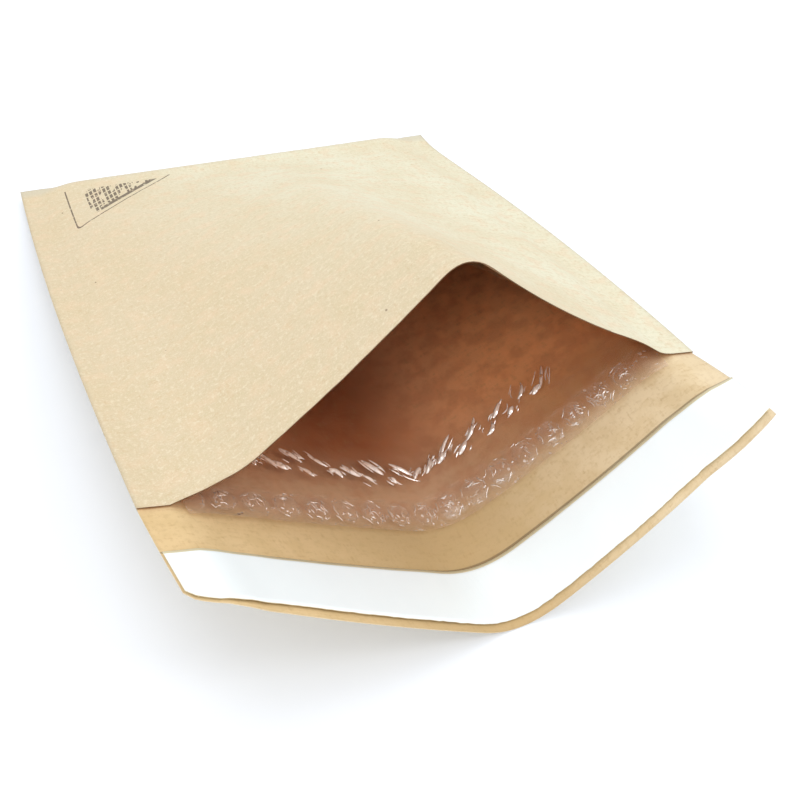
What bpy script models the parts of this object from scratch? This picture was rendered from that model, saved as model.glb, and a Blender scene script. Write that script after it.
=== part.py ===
"""Padded envelope: two kraft paper panels with a bubble film lining, lying with the mouth open.

X runs across the envelope, the mouth and the flap point along -Y, the closed end along +Y and Z up.
The origin lies on the floor, in the middle of the part's bounding box.

Each panel is a flat sheet that is bent: a point of it is given by u, its distance across from the
middle line, and v, its distance from the closed end, both measured along the paper. A third number,
the depth, is its distance from the paper's outer face towards the inside of the envelope.
"""

import math

import bmesh
import bpy
import numpy as np

MM = 0.001

# Size of the flat envelope
WIDTH = 235.0 * MM
POCKET_LENGTH = 275.0 * MM
FLAP_LENGTH = 52.0 * MM
SEAM_WIDTH = 10.0 * MM

# Paper
PAPER_THICKNESS = 0.4 * MM
SEAM_GAP = 0.4 * MM
FOLD_GAP = 0.7 * MM

# Bubble film lining, one ply on each panel
BUBBLE_PITCH = 12.0 * MM
BUBBLE_SLANT = 2.0 * MM
BUBBLE_HEIGHT = 2.6 * MM
LEAST_BUBBLE_HEIGHT = 0.15 * MM
FILM_THICKNESS = 0.3 * MM
LINING_CLEARANCE = 0.5 * MM
PLY_GAP = 0.8 * MM
LINING_SIDE_INSET = 4.0 * MM
LINING_END_INSET = 6.0 * MM
LINING_MOUTH_INSET = 2.0 * MM

# Closing strip on the flap
LINER_OFFSET = 24.6 * MM
LINER_WIDTH = 24.3 * MM
LINER_THICKNESS = 0.25 * MM
ADHESIVE_WIDTH = 18.0 * MM
ADHESIVE_THICKNESS = 0.3 * MM
STRIP_CLEARANCE = 0.4 * MM
LINER_END_INSET = 0.5 * MM
ADHESIVE_END_INSET = 3.0 * MM

# How the mouth stands open: slopes are in degrees, at the mouth, seen from the mouth
OPENING_START = 7.5 * MM
OPENING_ROUNDING = 0.05
BACK_LEFT_SLOPE = 27.2
BACK_RIGHT_SLOPE = 32.6
VALLEY_BEND = 20.7 * MM
VALLEY_DRIFT = 7.8 * MM
FRONT_RISE = 23.9
FRONT_FALL = 50.4
FRONT_FALL_AT_SEAM = 34.0
PEAK_OFFSET = 10.3 * MM
PEAK_BEND = 11.5 * MM
LEFT_SEAM_SLOPE = -12.5
RIGHT_SEAM_SLOPE = -8.8
RIGHT_SEAM_CURL = 40.0
SEAM_BEND = 10.0 * MM
LEFT_FOOT = 32.5 * MM
RIGHT_FOOT = 8.0 * MM
FLAP_SPREAD = 1.14

# Lengths over which the padding swells from a seam and from the fold at the closed end
SIDE_TAPER = 19.0 * MM
END_TAPER = 6.2 * MM

# Fineness of the meshes
BEND_MARGIN = 3.0 * MM
COLUMNS_IN_TAPER = 3
COLUMNS_IN_SIDE = 6
COLUMNS_IN_BEND = 10
ROWS_IN_FOLD = 4
LIFTING_END = 56.0 * MM
ROWS_IN_LIFTING = 6
ROWS_IN_POCKET = 9
ROWS_IN_FLAP = 6
ROWS_IN_BAND = 3
TABLE_STEP = 1.0 * MM
MERGE_DISTANCE = 0.01 * MM
LEAST_BUBBLE_SHARE = 0.45    # a cell that is cut smaller than this stays flat

HALF_WIDTH = WIDTH / 2
POCKET_HALF_WIDTH = HALF_WIDTH - SEAM_WIDTH
FULL_LENGTH = POCKET_LENGTH + FLAP_LENGTH
SEAM_THICKNESS = 2 * PAPER_THICKNESS + SEAM_GAP
LINING_DEPTH = PAPER_THICKNESS + LINING_CLEARANCE
PLY_THICKNESS = BUBBLE_HEIGHT + FILM_THICKNESS
PADDED_THICKNESS = 2 * (LINING_DEPTH + PLY_THICKNESS) + PLY_GAP


def ease(t):
    """Smooth step from 0 to 1."""
    t = np.clip(t, 0.0, 1.0)
    return t * t * (3.0 - 2.0 * t)


def swell(t):
    """Rise from 0 to 1 that starts steep and ends level."""
    return np.sin(np.clip(t, 0.0, 1.0) * math.pi / 2)


def back_slopes(u, v):
    """Slopes across the back panel at the mouth, or past it: a valley between two straight sides."""
    flap_share = max(0.0, (v - POCKET_LENGTH) / FLAP_LENGTH)
    left = ease((u + POCKET_HALF_WIDTH) / SEAM_BEND)
    right = ease((POCKET_HALF_WIDTH - u) / SEAM_BEND)
    turn = ease((u - VALLEY_DRIFT * flap_share + VALLEY_BEND) / (2 * VALLEY_BEND))
    side = math.radians(BACK_RIGHT_SLOPE) * turn - math.radians(BACK_LEFT_SLOPE) * (1 - turn)
    right_seam = RIGHT_SEAM_SLOPE + RIGHT_SEAM_CURL * flap_share
    seams = math.radians(LEFT_SEAM_SLOPE) * (1 - left) + math.radians(right_seam) * (1 - right)
    return side * left * right + seams


def front_slopes(u):
    """Slopes across the front panel at the mouth: a ridge with a foot at each seam."""
    left = ease((u + POCKET_HALF_WIDTH) / LEFT_FOOT)
    right = ease((POCKET_HALF_WIDTH - u) / RIGHT_FOOT)
    turn = ease((u - PEAK_OFFSET + PEAK_BEND) / (2 * PEAK_BEND))
    down = np.clip((u - PEAK_OFFSET) / (POCKET_HALF_WIDTH - PEAK_OFFSET), 0.0, 1.0)
    fall = FRONT_FALL + (FRONT_FALL_AT_SEAM - FRONT_FALL) * down
    side = math.radians(FRONT_RISE) * (1 - turn) - np.radians(fall) * turn
    return side * left * right + back_slopes(u, POCKET_LENGTH) * (1 - left * right)


def opening(v):
    """How far the envelope stands open at v: 0 when flat, 1 at the mouth."""
    along = (v - OPENING_START) / (POCKET_LENGTH - OPENING_START)
    if along <= 0:
        return 0.0
    if along <= 1:
        rounded = math.hypot(along, OPENING_ROUNDING) - OPENING_ROUNDING
        return rounded / (math.hypot(1, OPENING_ROUNDING) - OPENING_ROUNDING)
    return 1.0 + FLAP_SPREAD * (along - 1)


def running_sum(values, step):
    """Integral of the values along the last axis, from 0."""
    middles = (values[1:] + values[:-1]) / 2
    return np.concatenate([[0.0], np.cumsum(middles * step)])


def section(slopes, step):
    """Line across the envelope with these slopes, as x and z from its left end."""
    return running_sum(np.cos(slopes), step), running_sum(np.sin(slopes), step)


class Panel:
    """One bent panel: a table of points on the paper's outer face."""

    def __init__(self, us, vs, xs, zs, inward):
        self.us = us
        self.vs = vs
        x_rate = np.gradient(xs, vs, axis=0)
        z_rate = np.gradient(zs, vs, axis=0)
        # The paper doesn't stretch, so y follows from x and z
        y_rate = -np.sqrt(np.clip(1 - x_rate ** 2 - z_rate ** 2, 0.0, 1.0))
        steps = (y_rate[1:] + y_rate[:-1]) / 2 * np.diff(vs)[:, None]
        ys = np.concatenate([np.zeros((1, len(us))), np.cumsum(steps, axis=0)])
        self.points = np.stack([xs, ys, zs], axis=-1)
        across = np.gradient(self.points, us, axis=1)
        along = np.gradient(self.points, vs, axis=0)
        normals = inward * np.cross(along, across)
        self.normals = normals / np.linalg.norm(normals, axis=-1, keepdims=True)

    def look_up(self, table, u, v):
        column = np.clip((u - self.us[0]) / (self.us[1] - self.us[0]), 0, len(self.us) - 1.001)
        row = np.clip((v - self.vs[0]) / (self.vs[1] - self.vs[0]), 0, len(self.vs) - 1.001)
        i, j = int(row), int(column)
        a, b = row - i, column - j
        low = table[i, j] * (1 - b) + table[i, j + 1] * b
        high = table[i + 1, j] * (1 - b) + table[i + 1, j + 1] * b
        return low * (1 - a) + high * a

    def outer(self, u, v):
        return self.look_up(self.points, u, v)

    def place(self, u, v, depth):
        return self.look_up(self.points, u, v) + depth * self.look_up(self.normals, u, v)


def bend_panels():
    """Both panels, in place: the back one runs on into the flap."""
    us = np.linspace(-HALF_WIDTH, HALF_WIDTH, round(WIDTH / TABLE_STEP) + 1)
    vs = np.linspace(0, FULL_LENGTH, round(FULL_LENGTH / TABLE_STEP) + 1)
    step = us[1] - us[0]
    inner = np.abs(us) <= POCKET_HALF_WIDTH
    first, last = np.flatnonzero(inner)[[0, -1]]
    middle = len(us) // 2
    across = swell((POCKET_HALF_WIDTH - np.abs(us)) / SIDE_TAPER)
    tables = {"back": ([], []), "front": ([], [])}
    for v in vs:
        open_share = opening(v)
        back_x, back_z = section(back_slopes(us, v) * open_share, step)
        front_x, front_z = section(front_slopes(us) * open_share, step)
        back_x = back_x - back_x[middle]
        # The front panel is turned and fitted between the seams of the back panel
        wanted = complex(back_x[last] - back_x[first], back_z[last] - back_z[first])
        found = complex(front_x[last] - front_x[first], front_z[last] - front_z[first])
        line = (front_x - front_x[first] + 1j * (front_z - front_z[first])) * wanted / found
        front_x = np.where(inner, line.real + back_x[first], back_x)
        front_z = np.where(inner, line.imag + back_z[first], back_z)
        # The whole section is lifted until its lowest padding would touch the floor
        low = back_z.min() - PADDED_THICKNESS / 2
        past_fold = swell(v / END_TAPER)
        swollen = (PADDED_THICKNESS - SEAM_THICKNESS) * past_fold
        thickness = SEAM_THICKNESS + across * (swollen - (SEAM_THICKNESS - FOLD_GAP) * (1 - past_fold))
        back_z = back_z - thickness / 2
        front_z = front_z + thickness / 2
        tables["back"][0].append(back_x)
        tables["back"][1].append(back_z - low)
        tables["front"][0].append(front_x)
        tables["front"][1].append(front_z - low)
    back = Panel(us, vs, *(np.array(t) for t in tables["back"]), inward=1.0)
    front = Panel(us, vs, *(np.array(t) for t in tables["front"]), inward=-1.0)
    centre = (back.points[..., 1].max() + back.points[..., 1].min()) / 2
    back.points[..., 1] -= centre
    front.points[..., 1] -= centre
    return back, front


def part_material(name, colour, roughness, transmission=0.0):
    material = bpy.data.materials.new(name)
    material.use_nodes = True
    shader = material.node_tree.nodes["Principled BSDF"]
    shader.inputs["Base Color"].default_value = (*colour, 1.0)
    shader.inputs["Roughness"].default_value = roughness
    shader.inputs["Metallic"].default_value = 0.0
    shader.inputs["Transmission Weight"].default_value = transmission
    return material


def add_object(name, bm, material, collection):
    mesh = bpy.data.meshes.new(name)
    bm.to_mesh(mesh)
    bm.free()
    obj = bpy.data.objects.new(name, mesh)
    obj.data.materials.append(material)
    collection.objects.link(obj)
    return obj


def grid_of(bm, across, along, place):
    """Grid with a column at each of across and a row at each of along, bent by place(u, v)."""
    made = bmesh.ops.create_grid(bm, x_segments=len(across) - 1, y_segments=len(along) - 1, size=0.5)
    rows = [[None] * len(across) for _ in along]
    for vertex in made["verts"]:
        i = round((vertex.co.x + 0.5) * (len(across) - 1))
        j = round((vertex.co.y + 0.5) * (len(along) - 1))
        vertex.co = place(across[i], along[j])
        rows[j][i] = vertex
    return rows


def cover_columns():
    """Places of the mesh columns: closest where the paper bends."""
    bend = max(VALLEY_BEND + VALLEY_DRIFT, PEAK_BEND + PEAK_OFFSET) + BEND_MARGIN
    flat = POCKET_HALF_WIDTH - SIDE_TAPER
    right = np.concatenate([
        np.linspace(bend, flat, COLUMNS_IN_SIDE + 1),
        np.linspace(flat, POCKET_HALF_WIDTH, COLUMNS_IN_TAPER + 1)[1:],
        [HALF_WIDTH],
    ])
    return np.concatenate([-right[::-1], np.linspace(-bend, bend, COLUMNS_IN_BEND + 1)[1:-1], right])


def pocket_rows():
    """Places of the mesh rows from the closed end to the mouth."""
    return np.concatenate([
        np.linspace(0, END_TAPER, ROWS_IN_FOLD + 1),
        np.linspace(END_TAPER, LIFTING_END, ROWS_IN_LIFTING + 1)[1:],
        np.linspace(LIFTING_END, POCKET_LENGTH, ROWS_IN_POCKET + 1)[1:],
    ])


def paper_panel(name, panel, rows, facing, paper, collection):
    """Sheet of paper with its outer face on the panel: facing is 1 if that face looks up, else -1."""
    bm = bmesh.new()
    grid_of(bm, cover_columns(), rows, panel.outer)
    bmesh.ops.recalc_face_normals(bm, faces=bm.faces)
    if sum(face.normal.z for face in bm.faces) * facing < 0:
        bmesh.ops.reverse_faces(bm, faces=bm.faces)
    sheet = add_object(name, bm, paper, collection)
    solidify = sheet.modifiers.new("paper", "SOLIDIFY")
    solidify.thickness = PAPER_THICKNESS
    solidify.offset = -1.0
    solidify.use_even_offset = True
    return sheet


def kraft_cover(back, front, collection):
    """Back panel with its flap and front panel, a seam's gap apart at the sides and the closed end."""
    paper = part_material("kraft_paper", (0.66, 0.50, 0.36), 0.8)
    rows = pocket_rows()
    flap_rows = np.linspace(POCKET_LENGTH, FULL_LENGTH, ROWS_IN_FLAP + 1)[1:]
    paper_panel("back_panel", back, np.concatenate([rows, flap_rows]), -1, paper, collection)
    paper_panel("front_panel", front, rows, 1, paper, collection)


def bubble_height(back, front, u, v):
    """Height that is left for a bubble between the panels at this place."""
    room = np.linalg.norm(front.outer(u, v) - back.outer(u, v)) / 2
    left = room - LINING_DEPTH - FILM_THICKNESS - PLY_GAP / 2
    return float(np.clip(left, LEAST_BUBBLE_HEIGHT, BUBBLE_HEIGHT))


def bubble_lining(name, panel, back, front, material, collection):
    """Ply of bubble film: smooth towards the pocket, with its bubbles against the paper."""
    bm = bmesh.new()
    half_width = POCKET_HALF_WIDTH - LINING_SIDE_INSET
    start, end = LINING_END_INSET, POCKET_LENGTH - LINING_MOUTH_INSET
    cell_radius = BUBBLE_PITCH / math.sqrt(3)
    row_pitch = 1.5 * cell_radius
    rows = int((end - start) / row_pitch) + 3
    columns = int(half_width / BUBBLE_PITCH) + 2
    for j in range(rows):
        for i in range(-columns, columns + 1):
            made = bmesh.ops.create_circle(bm, cap_ends=True, segments=6, radius=cell_radius)
            shift = ((i + 0.5 * (j % 2)) * BUBBLE_PITCH, start + (j - 0.5) * row_pitch, 0.0)
            bmesh.ops.translate(bm, verts=made["verts"], vec=shift)
    bmesh.ops.remove_doubles(bm, verts=bm.verts, dist=MERGE_DISTANCE)
    cuts = [((half_width, 0, 0), (1, 0, 0)), ((-half_width, 0, 0), (-1, 0, 0)),
            ((0, start, 0), (0, -1, 0)), ((0, end, 0), (0, 1, 0))]
    for place, direction in cuts:
        bmesh.ops.bisect_plane(bm, geom=bm.verts[:] + bm.edges[:] + bm.faces[:],
                               dist=MERGE_DISTANCE, plane_co=place, plane_no=direction,
                               clear_outer=True)
    bmesh.ops.recalc_face_normals(bm, faces=bm.faces)
    film = list(bm.faces)
    raised = bmesh.ops.extrude_face_region(bm, geom=film)["geom"]
    lifted = [item for item in raised if isinstance(item, bmesh.types.BMVert)]
    cells = [item for item in raised if isinstance(item, bmesh.types.BMFace)]
    bmesh.ops.translate(bm, verts=lifted, vec=(0, 0, FILM_THICKNESS))
    bmesh.ops.recalc_face_normals(bm, faces=bm.faces)
    least = LEAST_BUBBLE_SHARE * max(cell.calc_area() for cell in cells)
    cells = [cell for cell in cells if cell.calc_area() > least]
    bmesh.ops.inset_individual(bm, faces=cells, thickness=BUBBLE_SLANT, depth=BUBBLE_HEIGHT,
                               use_even_offset=True)
    for vertex in bm.verts:
        u, v, height = vertex.co
        bubble = bubble_height(back, front, u, v)
        above_film = max(0.0, height - FILM_THICKNESS) / BUBBLE_HEIGHT
        depth = LINING_DEPTH + bubble * (1 - above_film) + max(0.0, FILM_THICKNESS - height)
        vertex.co = panel.place(u, v, depth)
    if bm.calc_volume(signed=True) < 0:
        bmesh.ops.reverse_faces(bm, faces=bm.faces)
    return add_object(name, bm, material, collection)


def flap_band(name, back, start, width, half_length, depth, thickness, material, collection):
    """Thin band across the flap's inner face."""
    bm = bmesh.new()
    columns = cover_columns()
    inside = columns[np.abs(columns) < half_length]
    across = np.concatenate([[-half_length], inside, [half_length]])
    along = np.linspace(start, start + width, ROWS_IN_BAND + 1)
    grid_of(bm, across, along, lambda u, v: back.place(u, v, depth))
    bmesh.ops.recalc_face_normals(bm, faces=bm.faces)
    if sum(face.normal.z for face in bm.faces) > 0:
        bmesh.ops.reverse_faces(bm, faces=bm.faces)
    band = add_object(name, bm, material, collection)
    solidify = band.modifiers.new("band", "SOLIDIFY")
    solidify.thickness = thickness
    solidify.offset = -1.0
    return band


def build():
    for obj in list(bpy.data.objects):
        bpy.data.objects.remove(obj, do_unlink=True)
    collection = bpy.data.collections.new("padded_envelope")
    bpy.context.scene.collection.children.link(collection)
    back, front = bend_panels()
    kraft_cover(back, front, collection)
    film = part_material("bubble_film", (0.86, 0.88, 0.90), 0.15, transmission=0.8)
    bubble_lining("back_lining", back, back, front, film, collection)
    bubble_lining("front_lining", front, back, front, film, collection)
    glue = part_material("flap_glue", (0.84, 0.80, 0.68), 0.45)
    liner = part_material("release_paper", (0.93, 0.94, 0.95), 0.35)
    liner_start = POCKET_LENGTH + LINER_OFFSET
    glue_start = liner_start + (LINER_WIDTH - ADHESIVE_WIDTH) / 2
    glue_depth = PAPER_THICKNESS + STRIP_CLEARANCE
    liner_depth = glue_depth + ADHESIVE_THICKNESS + STRIP_CLEARANCE
    flap_band("adhesive_strip", back, glue_start, ADHESIVE_WIDTH, HALF_WIDTH - ADHESIVE_END_INSET,
              glue_depth, ADHESIVE_THICKNESS, glue, collection)
    flap_band("release_liner", back, liner_start, LINER_WIDTH, HALF_WIDTH - LINER_END_INSET,
              liner_depth, LINER_THICKNESS, liner, collection)


build()
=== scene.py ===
"""Padded envelope: kraft paper outside, bubble film inside, lying with its mouth open.

Each panel is a flat sheet that is bent: a point of it is given by u, its distance across from the
middle line, and v, its distance from the closed end, both measured along the paper. A third number,
the depth, is its distance from the paper's outer face towards the inside of the envelope.
"""

import math

import bmesh
import bpy
import numpy as np
from mathutils import Matrix


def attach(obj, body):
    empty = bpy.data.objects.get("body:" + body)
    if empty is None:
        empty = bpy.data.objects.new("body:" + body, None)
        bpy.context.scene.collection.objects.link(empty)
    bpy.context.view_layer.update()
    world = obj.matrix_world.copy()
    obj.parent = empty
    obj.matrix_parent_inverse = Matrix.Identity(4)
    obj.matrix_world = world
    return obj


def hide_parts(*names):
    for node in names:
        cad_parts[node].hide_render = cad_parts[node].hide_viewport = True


MM = 0.001

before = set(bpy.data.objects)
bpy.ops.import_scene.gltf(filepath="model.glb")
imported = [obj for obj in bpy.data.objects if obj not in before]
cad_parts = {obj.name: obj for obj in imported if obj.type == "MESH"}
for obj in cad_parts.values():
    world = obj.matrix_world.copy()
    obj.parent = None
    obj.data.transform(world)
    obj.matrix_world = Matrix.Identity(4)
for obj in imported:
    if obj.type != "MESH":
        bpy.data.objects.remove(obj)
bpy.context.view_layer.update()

# Size of the flat envelope
WIDTH = 235.0 * MM
POCKET_LENGTH = 275.0 * MM
FLAP_LENGTH = 52.0 * MM
SEAM_WIDTH = 10.0 * MM

# Paper, and the slits between the two panels
PAPER_THICKNESS = 0.4 * MM
SEAM_GAP = 0.4 * MM
FOLD_GAP = 0.7 * MM
VISIBLE_PAPER_THICKNESS = 0.3 * MM

# Bubble film lining, one ply on each panel
BUBBLE_PITCH = 12.0 * MM
BUBBLE_ROW_PITCH = BUBBLE_PITCH * math.sqrt(3) / 2
BUBBLE_RADIUS = 4.9 * MM
BUBBLE_HEIGHT = 2.6 * MM
LEAST_BUBBLE_HEIGHT = 0.15 * MM
FILM_THICKNESS = 0.3 * MM
LINING_CLEARANCE = 0.5 * MM
PLY_GAP = 0.8 * MM
LINING_SIDE_INSET = 4.0 * MM
LINING_END_INSET = 6.0 * MM
LINING_MOUTH_INSET = 2.0 * MM

# How far inside the mouth the front panel's ply ends, where it can't be seen
HIDDEN_MOUTH_INSET = 30.0 * MM

# How far the film of the back panel is drawn towards the flap, and over which length
FILM_REACH = 7.0 * MM
REACHING_LENGTH = 60.0 * MM

# Stretches of v near the mouth: milky film, crumpled row, pocket painted lighter as painted light, end
# of the film
VEIL_ZONE = (POCKET_LENGTH - 48 * MM, POCKET_LENGTH - 22 * MM)
EDGE_ROW_ZONE = (POCKET_LENGTH - 17 * MM, POCKET_LENGTH - 13 * MM)
PAINTED_LIGHT_ZONE = (POCKET_LENGTH - 45 * MM, POCKET_LENGTH - 12 * MM)
FILM_END_ZONE = (POCKET_LENGTH - 8 * MM, POCKET_LENGTH + 4 * MM)

# Closing strip on the flap
LINER_OFFSET = 24.6 * MM
LINER_WIDTH = 24.3 * MM
LINER_THICKNESS = 0.25 * MM
ADHESIVE_WIDTH = 18.0 * MM
ADHESIVE_THICKNESS = 0.3 * MM
STRIP_CLEARANCE = 0.1 * MM
LINER_END_INSET = 0.2 * MM
ADHESIVE_END_INSET = 3.0 * MM
LINER_LIFT = 0.4 * MM
RAGGED_EDGE = 0.10 * MM
LINER_RIM = 1.1 * MM

# Left corner of the flap, worn round: its reach across and along, and where the shortening starts
WORN_CORNER = (32.0 * MM, 9.0 * MM)
WORN_LENGTH = 20.0 * MM
STRIP_EDGE_INSET = 0.3 * MM

# How the mouth stands open: the slopes are in degrees and hold at the mouth
OPENING_START = 7.5 * MM
OPENING_ROUNDING = 0.05
BACK_LEFT_SLOPE = 27.2
BACK_RIGHT_SLOPE = 32.6
VALLEY_BEND = 20.7 * MM
VALLEY_DRIFT = 7.8 * MM
FRONT_RISE = 23.9
FRONT_FALL = 50.4
FRONT_FALL_AT_SEAM = 34.0
PEAK_OFFSET = 10.3 * MM
PEAK_BEND = 11.5 * MM
LEFT_SEAM_SLOPE = -12.5
RIGHT_SEAM_SLOPE = -8.8
RIGHT_SEAM_CURL = 40.0
SEAM_BEND = 10.0 * MM
LEFT_FOOT = 32.5 * MM
RIGHT_FOOT = 8.0 * MM
FLAP_SPREAD = 1.14

# Lengths over which the padding swells from a seam and from the fold at the closed end
SIDE_TAPER = 19.0 * MM
END_TAPER = 6.2 * MM

# Fineness of the meshes
TABLE_STEP = 1.0 * MM
PAPER_STEP = 2.0 * MM
FILM_STEP = 1.6 * MM
FINE_FILM_STEP = 0.7 * MM
FINE_FILM_LENGTH = 46.0 * MM
BUBBLE_SIDES = 18
BUBBLE_RINGS = 4

# Raised creases of the film, over these rows and columns of bubbles
LONG_CREASE_ROW = 23
SHORT_CREASE_ROW = 24
SHORT_CREASE_SHIFT = 6.0 * MM
CURLED_ROW = 25
SLANTED_COLUMNS = range(-8, 6)
CURLED_COLUMNS = range(-9, 10)
CREASE_MARGIN = 8.0 * MM
CREASE_LENGTH = 10.0 * MM
CREASE_WIDTH = 2.4 * MM
CREASE_HEIGHT = 1.1 * MM
CREASE_TURN = 48.0
CREASE_STEPS = 12
CREASE_RIBS = 6

# Gentle unevenness of a handled sheet, in mm, and what starts each random pattern
WAVE_LENGTHS = (120, 80, 55, 38, 26, 18)
WAVE_SUM = 2.2
PAPER_SEED = 4
BAND_SEED = 5.0
RAGGED_SEED = 7
LINER_SEED = 11
BACK_FILM_SEED = 21
BACK_BUBBLE_SEED = 22
FRONT_FILM_SEED = 23
FRONT_BUBBLE_SEED = 24
CREASE_SEED = 25

HALF_WIDTH = WIDTH / 2
POCKET_HALF_WIDTH = HALF_WIDTH - SEAM_WIDTH
FULL_LENGTH = POCKET_LENGTH + FLAP_LENGTH
SEAM_THICKNESS = 2 * PAPER_THICKNESS + SEAM_GAP
LINING_DEPTH = PAPER_THICKNESS + LINING_CLEARANCE
PLY_THICKNESS = BUBBLE_HEIGHT + FILM_THICKNESS
PADDED_THICKNESS = 2 * (LINING_DEPTH + PLY_THICKNESS) + PLY_GAP

# Printed mark: place of its corner, its two sides and the breadth between corner and slope
PRINT_CORNER = (96.0 * MM, 12.0 * MM)
PRINT_SIZE = (56.0 * MM, 50.0 * MM)
PRINT_BREADTH = 37.0 * MM
PRINT_LINE = 0.36 * MM
PRINT_MARGIN = 3.0 * MM
PRINT_LENGTH = 64.0 * MM
BAR_PITCH = 2.3 * MM
BAR_ROW_PITCH = 4.2 * MM
BARS_START = 9 * MM
BAND_START = 14 * MM
BAND_TOP = 5.4 * MM

# How much darker the kraft paper is than the colours given for it
BLACK = (0.0, 0.0, 0.0)
KRAFT_DARKENING = 0.09

# Light all round, the floor, and each lamp's name, place, size, power and colour
WORLD_STRENGTH = 1.0
WORLD_COLOUR = (0.98, 0.985, 1.0, 1.0)
FLOOR_COLOUR = (0.90, 0.94, 1.0)
FLOOR_HALF_SIZE = 4.0
FLOOR_DROP = 0.3 * MM
LAMPS = (
    ("overhead", (-0.15, 0.25, 1.50), 1.1, 4.2, (1.0, 0.99, 0.975)),
    ("left_front", (-0.75, -0.85, 0.95), 0.35, 2.4, (1.0, 0.99, 0.98)),
    ("right_front", (0.65, -0.60, 1.00), 0.40, 2.0, (1.0, 1.0, 1.0)),
)
LAMP_TARGET = (0.0, -0.04, 0.03)

# Camera: its place, the way it looks and its lens
CAMERA_PLACE = (-0.1169, -0.2874, 0.2656)
CAMERA_YAW = 27.99
CAMERA_DIP = 44.05
CAMERA_ROLL = 6.07
FOCAL_PIXELS = 878.9
FRAME_PIXELS = 800
SENSOR_WIDTH = 36.0


# Shape of the panels

def ease(t):
    """Smooth step from 0 to 1."""
    t = np.clip(t, 0.0, 1.0)
    return t * t * (3.0 - 2.0 * t)


def swell(t):
    """Rise from 0 to 1 that starts steep and ends level."""
    return np.sin(np.clip(t, 0.0, 1.0) * math.pi / 2)


def back_slopes(u, v):
    """Slopes across the back panel at the mouth, or past it: a valley between two straight sides."""
    flap_share = max(0.0, (v - POCKET_LENGTH) / FLAP_LENGTH)
    left = ease((u + POCKET_HALF_WIDTH) / SEAM_BEND)
    right = ease((POCKET_HALF_WIDTH - u) / SEAM_BEND)
    turn = ease((u - VALLEY_DRIFT * flap_share + VALLEY_BEND) / (2 * VALLEY_BEND))
    side = math.radians(BACK_RIGHT_SLOPE) * turn - math.radians(BACK_LEFT_SLOPE) * (1 - turn)
    right_seam = RIGHT_SEAM_SLOPE + RIGHT_SEAM_CURL * flap_share
    seams = math.radians(LEFT_SEAM_SLOPE) * (1 - left) + math.radians(right_seam) * (1 - right)
    return side * left * right + seams


def front_slopes(u):
    """Slopes across the front panel at the mouth: a ridge with a foot at each seam."""
    left = ease((u + POCKET_HALF_WIDTH) / LEFT_FOOT)
    right = ease((POCKET_HALF_WIDTH - u) / RIGHT_FOOT)
    turn = ease((u - PEAK_OFFSET + PEAK_BEND) / (2 * PEAK_BEND))
    down = np.clip((u - PEAK_OFFSET) / (POCKET_HALF_WIDTH - PEAK_OFFSET), 0.0, 1.0)
    fall = FRONT_FALL + (FRONT_FALL_AT_SEAM - FRONT_FALL) * down
    side = math.radians(FRONT_RISE) * (1 - turn) - np.radians(fall) * turn
    return side * left * right + back_slopes(u, POCKET_LENGTH) * (1 - left * right)


def opening(v):
    """How far the envelope stands open at v: 0 when flat, 1 at the mouth."""
    along = (v - OPENING_START) / (POCKET_LENGTH - OPENING_START)
    if along <= 0:
        return 0.0
    if along <= 1:
        rounded = math.hypot(along, OPENING_ROUNDING) - OPENING_ROUNDING
        return rounded / (math.hypot(1, OPENING_ROUNDING) - OPENING_ROUNDING)
    return 1.0 + FLAP_SPREAD * (along - 1)


def running_sum(values, step):
    """Integral of the values along the last axis, from 0."""
    middles = (values[1:] + values[:-1]) / 2
    return np.concatenate([[0.0], np.cumsum(middles * step)])


def section(slopes, step):
    """Line across the envelope with these slopes, as x and z from its left end."""
    return running_sum(np.cos(slopes), step), running_sum(np.sin(slopes), step)


class Panel:
    """One bent panel: a table of points on the paper's outer face."""

    def __init__(self, us, vs, xs, zs, inward):
        self.us = us
        self.vs = vs
        x_rate = np.gradient(xs, vs, axis=0)
        z_rate = np.gradient(zs, vs, axis=0)
        # The paper doesn't stretch, so y follows from x and z
        y_rate = -np.sqrt(np.clip(1 - x_rate ** 2 - z_rate ** 2, 0.0, 1.0))
        steps = (y_rate[1:] + y_rate[:-1]) / 2 * np.diff(vs)[:, None]
        ys = np.concatenate([np.zeros((1, len(us))), np.cumsum(steps, axis=0)])
        self.points = np.stack([xs, ys, zs], axis=-1)
        across = np.gradient(self.points, us, axis=1)
        along = np.gradient(self.points, vs, axis=0)
        normals = inward * np.cross(along, across)
        self.normals = normals / np.linalg.norm(normals, axis=-1, keepdims=True)

    def look_up(self, table, u, v):
        column = np.clip((u - self.us[0]) / (self.us[1] - self.us[0]), 0, len(self.us) - 1.001)
        row = np.clip((v - self.vs[0]) / (self.vs[1] - self.vs[0]), 0, len(self.vs) - 1.001)
        i, j = row.astype(int), column.astype(int)
        a, b = (row - i)[..., None], (column - j)[..., None]
        low = table[i, j] * (1 - b) + table[i, j + 1] * b
        high = table[i + 1, j] * (1 - b) + table[i + 1, j + 1] * b
        return low * (1 - a) + high * a

    def outer(self, u, v):
        return self.look_up(self.points, u, v)

    def place(self, u, v, depth):
        depth = np.broadcast_to(depth, u.shape)[..., None]
        return self.look_up(self.points, u, v) + depth * self.look_up(self.normals, u, v)


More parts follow.
